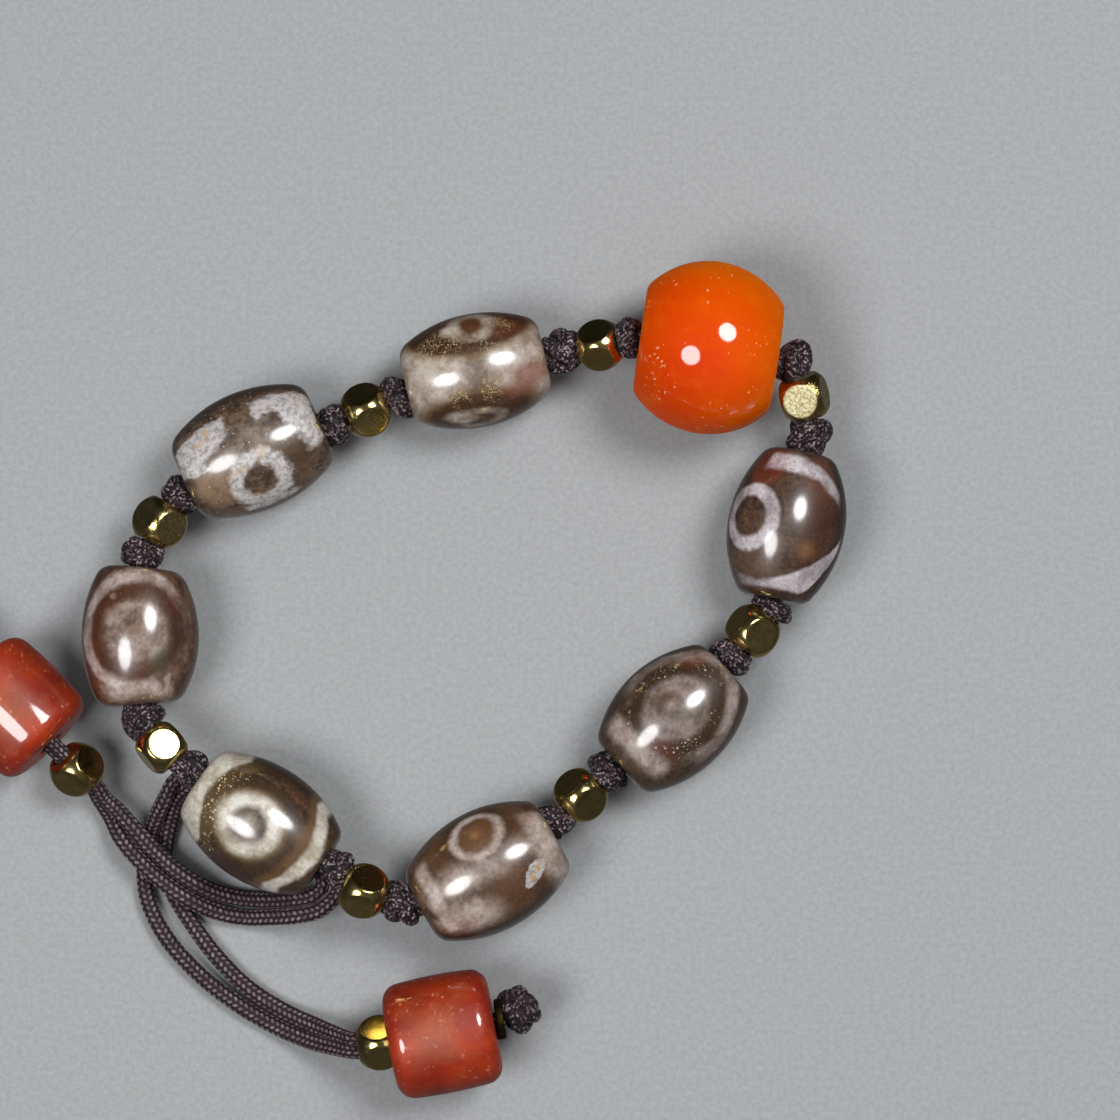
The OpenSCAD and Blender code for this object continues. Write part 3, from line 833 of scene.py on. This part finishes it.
def dzi_3():
    m = Stone(3, 0.45)
    eye = m.far_from(-0.8, -4.4)
    pale = eye.within(2.2, 3.1, 0.45)
    pale = pale.max(m.x.within(5.4, 6.8, 0.45) * m.w.abs().below(5, 6.4) * 0.95)
    pale = pale.max(m.disc(3.6, 4.2, 2.4, 1.4, sx=1.25, sw=0.9) * 0.85)
    pale = pale.max(m.x.within(-8.2, -5.8, 0.8) * (-m.w).below(4.4, 6) * 0.8)
    # Painted highlight haze: a faint pale streak along the top of the bead, where the lamps' broad gloss
    # falls.
    pale = pale.max(m.disc(1.2, -0.8, 1.7, 1.2, sx=2.6) * 0.42)
    spot = m.disc(-4.4, 3.1, 1.1, 0.4, sx=1.5, sw=0.9, turn=38) + (m.noise(m.q, 1.6, 4, 0.7) - 0.5) * 1.6
    spot = spot.step(0.4, 0.6)
    tints = ((m.disc(-1.4, 3.6, 2.4, 1.2, sx=1.5) * 0.9, (94, 62, 38)),
             # Painted shade: the flank beyond w = 5.6 darker, where the bead turns away from the lamps.
             (m.w.step(5.6, 7.6), (54, 36, 26)),
             (m.disc(3.8, -4.8, 1.8, 0.8, sw=1.3) * 0.9, (96, 66, 42)),
             (m.disc(-5, -4.6, 1.8, 0.8, sw=1.3) * 0.8, (92, 62, 40)),
             (eye.below(1.2, 2.8), (122, 84, 54)),
             (eye.within(3, 4.3, 0.6) * 0.8, (74, 48, 28)),
             (eye.within(0.9, 2.1, 0.5) * 0.6, (100, 66, 38)),
             (eye.below(0.1, 0.9), (150, 112, 66)),
             (m.disc(2.9, -5.2, 0.3, 0.2), (190, 160, 88)))
    material = m.finish(pale, ((68, 45, 29), (110, 80, 57), (208, 194, 186), (170, 148, 134)), tints,
                        crust=spot * 0.82, pores=0.3)
    heart = m.disc(-4.45, 3.05, 0.75, 0.3, sx=1.5, sw=0.4, turn=38) * m.noise(m.q, 2, 2).step(0.4, 0.55)
    colour = m.shader.inputs["Base Color"].links[0].from_socket
    m.set(Base_Color=m.mix(heart, colour, (200, 156, 64)))
    return material


def slider():
    m = Stone(4, 0.32)
    eye = m.far_from(0.6, 1)
    pale = eye.within(2.1, 3.5, 0.6)
    bulge = (m.w * m.w).min(44) * 0.042
    left, right = bulge - m.x, bulge + m.x
    pale = pale.max(left.within(6, 7.5, 0.35)).max(right.step(5.9, 6.6))
    # Painted highlight haze: the faint pale inside of the eye, where the lamps' gloss falls.
    pale = pale.max(eye.below(0.4, 1.9) * 0.3)
    edge = right.within(4, 6.3, 0.4) * (m.w + 5).step(0, 1.5)
    tints = ((eye.within(4.2, 5.6, 0.9) * 0.8, (62, 42, 24)),
             (eye.within(3.2, 4.1, 0.5) * 0.8, (134, 112, 78)),
             (right.within(4.4, 6.2, 0.6) * 0.5, (116, 92, 54)),
             # Painted shade: both flanks darker, where the bead turns away from the lamps.
             (m.w.abs().step(5, 7.4) * 0.9, (52, 35, 22)),
             (left.within(4.9, 6.1, 0.5) * 0.8, (116, 84, 48)),
             (m.disc(-5.2, -1.6, 1.2, 0.6, sw=1.4) * 0.5, (120, 84, 56)))
    return m.finish(pale, ((54, 36, 22), (92, 68, 44), (232, 229, 218), (192, 180, 158)), tints,
                    speckles=edge, grain=(222, 212, 168), bits=(2.2, 0.34, 0.5), pores=0.15, ragged=1.2)


def dzi_4():
    m = Stone(5, 0.6)
    ring = m.far_from(0.4, -0.1, 1, 1.08)
    rim = ring.within(5.4, 6.9, 0.5)
    where = ((-m.x) * 0.35 + m.w * 0.5 - 0.6).step(-0.8, 1.2).max((m.x - 4.6).step(-0.6, 0.8) * 0.9)
    pale = rim * (where * 0.7 + 0.14)
    # Painted highlight haze: the faint pale inside of the ring, where the lamps' gloss falls.
    pale = pale.max(ring.below(1.4, 4.4) * 0.34)
    pale = pale.max(ring.within(2.2, 3.2, 0.7) * 0.42)
    pale = pale.max(m.box(-6.8, -5.2, -6.2, 5, 0.9) * 0.7)
    core = m.disc(0.9, 0, 1.4, 0.7)
    brown = ring.within(3.5, 5.6, 0.9)
    tints = ((brown, (80, 42, 22)),
             (m.disc(1, -5.4, 1.6, 0.9, sx=2.2) * 0.8, (64, 40, 26)),
             # Painted shade: the flank beyond w = 5.6 darker, where the bead turns away from the lamps.
             (m.w.step(5.6, 7.6) * 0.7, (70, 44, 30)),
             (m.disc(-2.8, -3, 1.6, 0.8) * 0.8, (76, 68, 48)))
    chips = m.disc(-5, -4.5, 0.5, 0.25, sx=1.5).max(m.disc(4.4, 2.5, 0.4, 0.3) * 0.6)
    return m.finish((pale - core * 0.3).max(chips), ((72, 44, 29), (118, 84, 62), (214, 200, 194),
                    (166, 140, 126)), tints, pores=0.25, ragged=1)


def dzi_5():
    m = Stone(6, 0.5)
    rough = (m.noise(m.q, 0.8, 5, 0.66) - 0.5) * 1.8
    eye = m.far_from(-0.2, -4.2) + rough
    shell = eye.within(1.95, 3.6, 0.35)
    x, w = m.x + rough, m.w + rough
    left = x.within(-7.7, -1.5, 0.4) * (w - (x + 1.5).min(0) * 0.5).within(2.2, 20, 0.4)
    left = left * w.below(4.2, 4.8)
    left = left.max(x.within(-7.7, -5.2, 0.25) * w.within(-0.9, 4.4, 0.25))
    right = (x * 0.9 + w * 0.25 - 4.4).step(-0.4, 0.4) * w.within(-4, 5.3, 0.4) * x.below(7.5, 7.9)
    right = right.max(x.within(2, 6, 0.4) * w.within(2.3, 4.8, 0.4))
    chip = x.within(-3.2, 3, 0.3) * w.within(-8.6, -7.4, 0.3)
    crust = shell.max(left).max(right).max(chip)
    # Painted highlight haze: a faint pale streak along the top of the bead, where the lamps' broad gloss
    # falls.
    painted_highlight_haze = m.disc(0, 0.6, 1.9, 1.4, sx=2.6) * 0.3
    tints = ((m.disc(-5.2, -3, 2, 1, sw=1.5) * 0.8, (150, 122, 96)),
             # Painted shade: the flank beyond w = 5.2 darker, where the bead turns away from the lamps.
             (m.w.step(5.2, 7), (58, 40, 28)),
             (m.disc(5, -3.2, 2, 0.8, sw=1.5) * 0.8, (84, 62, 42)))
    return m.finish(painted_highlight_haze, ((62, 45, 32), (114, 92, 74), (172, 156, 146), (144, 126, 112)), tints,
                    crust=crust, speckles=m.noise(m.q, 0.4, 2).step(0.47, 0.6), grain=(206, 194, 168),
                    bits=(1.9, 0.24, 0.4), pores=0)


def dzi_6():
    m = Stone(7)
    eye = m.far_from(0.5, 5)
    around = m.far_from(0.2, 6.2, 1.35, 1)
    low = m.far_from(-0.4, -7, 1.5, 1)
    belt = around.step(4.7, 6) * low.step(3.8, 5.2) * (1 - m.disc(5.6, -3, 1.9, 1, sx=1.2) * 0.75)
    pale = belt * m.w.below(5.6, 6.6) * 0.8
    pale = pale.max(eye.within(1.4, 2.7, 0.5) * 0.62).max(m.disc(-1.8, 5, 0.9, 0.5) * 0.95)
    pale = pale.max(m.disc(-2.6, -6.4, 1, 0.5, sx=1.5) * 0.95).max(low.within(1, 1.9, 0.3) * 0.45)
    pale = pale - m.disc(0.3, -0.4, 1.3, 1.2, sw=2) * 0.55
    tints = ((around.within(2.6, 5, 0.8), (64, 34, 14)),
             (around.within(5, 6, 0.4) * 0.8, (126, 100, 62)),
             (low.within(1.6, 3.8, 0.7), (68, 38, 18)),
             (low.within(3.8, 4.8, 0.4) * 0.8, (122, 96, 66)),
             (eye.below(0.9, 1.8), (98, 58, 26)),
             (m.disc(3.4, 4.4, 1.8, 0.8, sx=1.3) * 0.9, (98, 50, 20)),
             (m.disc(5.2, -3, 2.2, 1, sx=1.2), (134, 84, 68)))
    patch = m.noise(m.q, 0.5, 2).step(0.36, 0.5)
    where = m.disc(-3.2, 3.4, 2.6, 0.7, sw=0.8).max(m.disc(3.6, 4.8, 1.6, 0.5))
    where = where.max(m.disc(1.3, -3, 1.6, 0.5, sx=0.8)).max(m.disc(-2.4, -3.8, 1.4, 0.5))
    where = where.max(m.disc(1.5, 2.6, 1.8, 0.6) * 0.7) * patch
    return m.finish(pale, ((66, 42, 24), (98, 68, 42), (206, 194, 182), (164, 142, 124)), tints,
                    speckles=where, grain=(222, 200, 148), pores=0.2, ragged=0.9)


def orange_stone():
    m = Mat("orange_stone")
    p = m.local(stone_centre(0), basis(stone_axis(0)))
    x, y, z = m.split(p)
    cloud = m.noise(p, 0.14, 3, 0.5, 0.3)
    # Painted light: lighter and yellower towards +x and +y, where the stronger lamp stands, redder away from
    # it; the clouds mixed in are the stone's own mottling.
    painted_light_slope = x * 0.05 + y * 0.04 + cloud * 1.2
    base = m.mix(painted_light_slope.step(0, 1.1), (222, 68, 0), (232, 92, 0))
    veil = m.noise(p, 0.5, 3, 0.6).step(0.5, 0.75)
    base = m.mix(veil * 0.22, base, (244, 126, 16))
    patch = m.noise(p, 0.33, 3, 0.6).step(0.54, 0.6)
    shaken = m.join(*(f + (m.noise(p, 2.5, 2) - 0.5) * 0.5 for f in (x, y, z)))
    for scale, size, share in ((1.1, 0.24, 0.22), (2.3, 0.34, 0.3)):
        base = m.mix(m.flecks(shaken, scale, size, share, 0.4) * patch * 0.8, base, (250, 200, 150))
    m.set(Base_Color=base, Roughness=0.4, Specular_IOR_Level=0, Coat_Weight=0.25, Coat_IOR=3,
          Coat_Roughness=0.07, Subsurface_Weight=1, Subsurface_Radius=(1, 0.3, 0.05),
          Subsurface_Scale=0.011, Normal=m.bump(m.noise(p, 1.6, 3), 0.04, 0.0002))
    return m.material


def red_stone(label, end):
    m = Mat(f"{label}_red_stone")
    p = m.local(red_centre(end), red_axes(end))
    cloud = m.noise(p, 0.2, 4, 0.55, 0.5)
    base = m.mix(cloud.step(0.32, 0.68), (146, 30, 0), (184, 56, 2))
    bloom = m.noise(p, 0.55, 4, 0.65).step(0.5, 0.72)
    base = m.mix(bloom * 0.22, base, (190, 104, 60))
    x, y, z = m.split(p)
    # Painted highlight haze: a pale patch on the top of the drum, where the lamps' broad gloss falls.
    painted_haze = (x * 0.9 + 0.4).abs().max((y - 0.6).abs() * 0.8) + (m.noise(p, 0.4, 3, 0.6) - 0.5) * 3
    base = m.mix(painted_haze.below(0.2, 3.8) * z.step(0, 3) * 0.34, base, (194, 124, 84))
    streaks = m.noise(m.join(x * 0.5, y * 2.4, z * 2.4), 0.6, 3, 0.6).step(0.55, 0.75)
    base = m.mix(streaks * 0.18, base, (120, 34, 14))
    # Painted shade: both sides of the drum darker, where it turns away from the lamps.
    base = m.mix(y.abs().step(3.2, 6.2) * 0.5, base, (86, 12, 0))
    where = m.noise(m.join(x + 9, y + 9, z + 9), 0.3, 2).step(0.46, 0.58)
    smudge = m.noise(p, 1.5, 4, 0.65).step(0.58, 0.68) * where
    base = m.mix(smudge * 0.4, base, (226, 156, 124))
    for scale, size, share in ((1.1, 0.26, 0.12), (2.2, 0.24, 0.12)):
        base = m.mix(m.flecks(p, scale, size, share, 0.3) * 0.5, base, (232, 166, 120))
    m.set(Base_Color=base, Roughness=bloom * 0.08 + 0.48, Specular_IOR_Level=0.55,
          Coat_Weight=0.25, Coat_IOR=3, Coat_Roughness=0.08, Subsurface_Weight=0.35,
          Subsurface_Radius=(1, 0.3, 0.08), Subsurface_Scale=0.003,
          Normal=m.bump(m.noise(p, 1.2, 4), 0.05, 0.0002))
    return m.material


GOLD_TONES, SPACER_TONES = ((214, 188, 110), (238, 216, 146)), ((40, 34, 18), (66, 56, 30))


def gold_metal(name, centre, axes, tones=GOLD_TONES, rough=0.08, sandy=0):
    m = Mat(name)
    p = m.local(centre, axes)
    wear = m.noise(p, 1.3, 6, 0.7)
    grime = m.noise(p, 0.7, 3).step(0.52, 0.75)
    base = m.mix(wear.step(0.3, 0.7), *tones)
    base = m.mix(grime * 0.35, base, (112, 92, 46))
    pit = m.flecks(p, 2.2, 0.3, 0.28, 0.4)
    base = m.mix(pit * 0.6, base, (150, 136, 88))
    sand = m.noise(p, 4, 4, 0.75)
    x, y, z = m.split(p)
    facet = x.abs().max(y.abs()).max(z.abs()).step(GOLD_FLATS / 2 - 0.08, GOLD_FLATS / 2 - 0.02)
    if sandy:
        blasted = m.mix(sand.step(0.4, 0.62), (168, 158, 112), (240, 232, 200))
        base = m.mix(facet * sandy, base, blasted)
    m.set(Base_Color=base, Roughness=wear * 0.14 + facet * (sandy * 0.36) + pit * 0.2 + rough, Metallic=1,
          Normal=m.bump(sand, 0.05 + 0.45 * sandy, 0.00012))
    return m.material


def cloth(m, base, height, strength):
    m.set(Base_Color=base, Roughness=0.6, Specular_IOR_Level=0.3, Sheen_Weight=0.12, Sheen_Roughness=0.4,
          Normal=m.bump(height, strength, 0.00015))
    return m.material


def braid():
    """The free strands: pale stitches, painted highlight on their crests, and dark gaps between them, painted
    shade.
    """
    m = Mat("braided_cord")
    crest = m.attribute("crest")
    p = m.local()
    fibre = m.noise(p, 6, 3, 0.7)
    patchy = m.noise(p, 1.1, 3, 0.6)
    # Painted highlight and shade: pale where the stitch stands high, dark in the gaps between the stitches.
    high = (crest + (fibre - 0.5) * 0.5).step(0.5, 1.12)
    highlight_lilac = m.mix(patchy.step(0.36, 0.64), (104, 84, 93), (158, 138, 144))
    return cloth(m, m.mix(high, (34, 23, 27), highlight_lilac), fibre, 0.4)


def thread_glints(m, p, scale, offset, length, width):
    """Painted highlights: short straight bits of thread that lie every way, one in each cell."""
    def vector(op, *values):
        node = m.node("VectorMath")
        node.operation = op
        for socket, value in zip(node.inputs, values):
            m.put(socket, value)
        return node.outputs

    shifted = vector("ADD", p, (offset, offset * 0.6, -offset))["Vector"]
    cell = m.node("TexVoronoi", Vector=shifted, Scale=scale)
    away = vector("SUBTRACT", shifted, cell.outputs["Position"])["Vector"]
    lean = vector("SUBTRACT", cell.outputs["Color"], (0.5, 0.5, 0.5))["Vector"]
    thread = vector("NORMALIZE", lean)["Vector"]
    run = Field(m, vector("DOT_PRODUCT", away, thread)["Value"])
    far = Field(m, vector("LENGTH", away)["Value"])
    off = (far * far - run * run).max(0).sqrt()
    bright = m.channel(cell.outputs["Color"], 1) * 0.6 + 0.4
    return off.below(width * 0.4, width) * run.abs().below(length * 0.6, length) * bright


def knotted(name, size=1, dark=1):
    """Cord pulled tight in a knot: short pale dashes of thread that lie every way, painted highlights on its
    threads.
    """
    m = Mat(name)
    p = m.local()
    # The dashes are painted highlights on the threads.
    dashes = thread_glints(m, p, 1.55 / size, 0, 0.42 * size, 0.17 * size)
    dashes = dashes.max(thread_glints(m, p, 2 / size, 7.7, 0.36 * size, 0.15 * size))
    tint = m.noise(p, 0.7, 2)
    shade, light = (tuple(c * dark for c in tone) for tone in ((118, 94, 102), (186, 164, 170)))
    highlight_lilac = m.mix(tint.step(0.35, 0.65), shade, light)
    fuzz = m.noise(p, 3, 4, 0.7)
    base = m.mix(fuzz.step(0.4, 0.7), (17, 11, 14), (42, 29, 34))
    return cloth(m, m.mix(dashes, base, highlight_lilac), dashes * 1.5 + fuzz * 0.5, 0.8)


def dress(obj, material):
    obj.data.materials.clear()
    obj.data.materials.append(material)


braided, wound, end_wound = braid(), knotted("knotted_cord"), knotted("end_knotted_cord", 1.25, 0.9)
for obj, _ in strands.values():
    dress(obj, braided)
for obj in [*knots.values(), nodes["loop_cord"]]:
    dress(obj, wound)
for label, _ in ENDS:
    dress(knots[f"{label}_end_knot"], end_wound)
stones = [orange_stone(), dzi_1(), dzi_2(), dzi_3(), slider(), dzi_4(), dzi_5(), dzi_6()]
for name, material in zip(STONE_NAMES, stones):
    dress(beads[name], material)
for i in range(8):
    metal = gold_metal(f"gold_metal_{i + 1}", gold_centre(i), gold_axes(i), sandy=SANDY_GOLDS.get(i, 0))
    dress(beads[f"gold_bead_{i + 1}"], metal)
for label, end in ENDS:
    metal = gold_metal(f"{label}_gold_metal", end_gold_centre(end), end_gold_axes(end))
    dress(beads[f"{label}_gold_bead"], metal)
    dress(beads[f"{label}_red_bead"], red_stone(label, end))
    axes = basis(along(end["heading"]))
    metal = gold_metal(f"{label}_spacer_metal", red_centre(end), axes, SPACER_TONES, 0.5)
    dress(beads[f"{label}_spacer"], metal)

# Riding on the root, with the imported parts hidden
for node, obj in {**beads, **knots}.items():
    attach(obj, "root")
    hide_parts(node)
for name, (obj, path) in strands.items():
    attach(obj, "root")
    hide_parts(name)
    label = name.split("_")[0]
    length = float(norm(np.diff(path, axis=0), axis=1).sum()) * MM


# Floor, light
def add_floor():
    """A plain pale floor. It isn't mirrored in the beads, so their sides stay as dark as the stone is."""
    mesh = bpy.data.meshes.new("floor")
    h = 4.0
    mesh.from_pydata([(-h, -h, 0), (h, -h, 0), (h, h, 0), (-h, h, 0)], [], [(0, 1, 2, 3)])
    floor = add("floor", mesh)
    floor.visible_glossy = False
    m = Mat("floor")
    p = m.local()
    grain = m.noise(p, 1.8, 4, 0.7)
    m.set(Base_Color=m.mix(grain.step(0.3, 0.7), (158, 160, 162), (170, 172, 174)), Roughness=0.9,
          Specular_IOR_Level=0.15, Normal=m.bump(grain, 0.2, 0.0003))
    dress(floor, m.material)


def lamp(name, tilt_x, tilt_y, distance, width, radiance):
    """A round soft lamp; its tilts are from straight above, towards +X and towards +Y, its width an angle."""
    d = Vector((math.tan(math.radians(tilt_x)), math.tan(math.radians(tilt_y)), 1)).normalized()
    data = bpy.data.lights.new(name, "AREA")
    data.shape = "DISK"
    data.size = 2 * distance * math.tan(math.radians(width / 2))
    data.energy = radiance * math.pi * math.pi * (data.size / 2) ** 2
    obj = add(name, data)
    obj.location = d * distance
    obj.rotation_euler = d.to_track_quat("Z", "Y").to_euler()


def add_fill():
    """A wide weak light from above, so that the floor far off isn't dark."""
    data = bpy.data.lights.new("fill", "SUN")
    data.angle = math.radians(100)
    data.energy = 0.6
    add("fill", data).visible_glossy = False


def add_sky():
    """A dim studio that only mirrors show, darkest level with the table and lighter towards -Y."""
    m = Mat("studio", bpy.data.worlds, "Background")
    _, y, z = m.split(m.coords["Generated"])
    height = m.node("MapRange", Value=z, From_Min=-1)
    aside = m.node("MapRange", Value=y, From_Min=-1, To_Min=1.5, To_Max=0.35)
    ramp = m.node("ValToRGB", Fac=height.outputs["Result"])
    stops = ramp.color_ramp.elements
    stops[0].position, stops[0].color = 0, (0.17, 0.17, 0.17, 1)
    stops[1].position, stops[1].color = 0.98, (0.085, 0.087, 0.09, 1)
    for place, grey in ((0.08, 0.11), (0.24, 0.045), (0.42, 0.04), (0.52, 0.026), (0.7, 0.036)):
        stops.new(place).color = (grey, grey, grey * 1.03, 1)
    m.set(Color=ramp.outputs["Color"], Strength=aside.outputs["Result"])
    scene.world = m.material
    scene.world.cycles_visibility.diffuse = False


add_floor()
lamp("lamp_left", -26, -16, 0.6, 25, 10.5)
lamp("lamp_right", 25, 17, 0.6, 23, 14)
add_fill()
add_sky()
scene.view_settings.view_transform = "Standard"

bpy.context.view_layer.update()
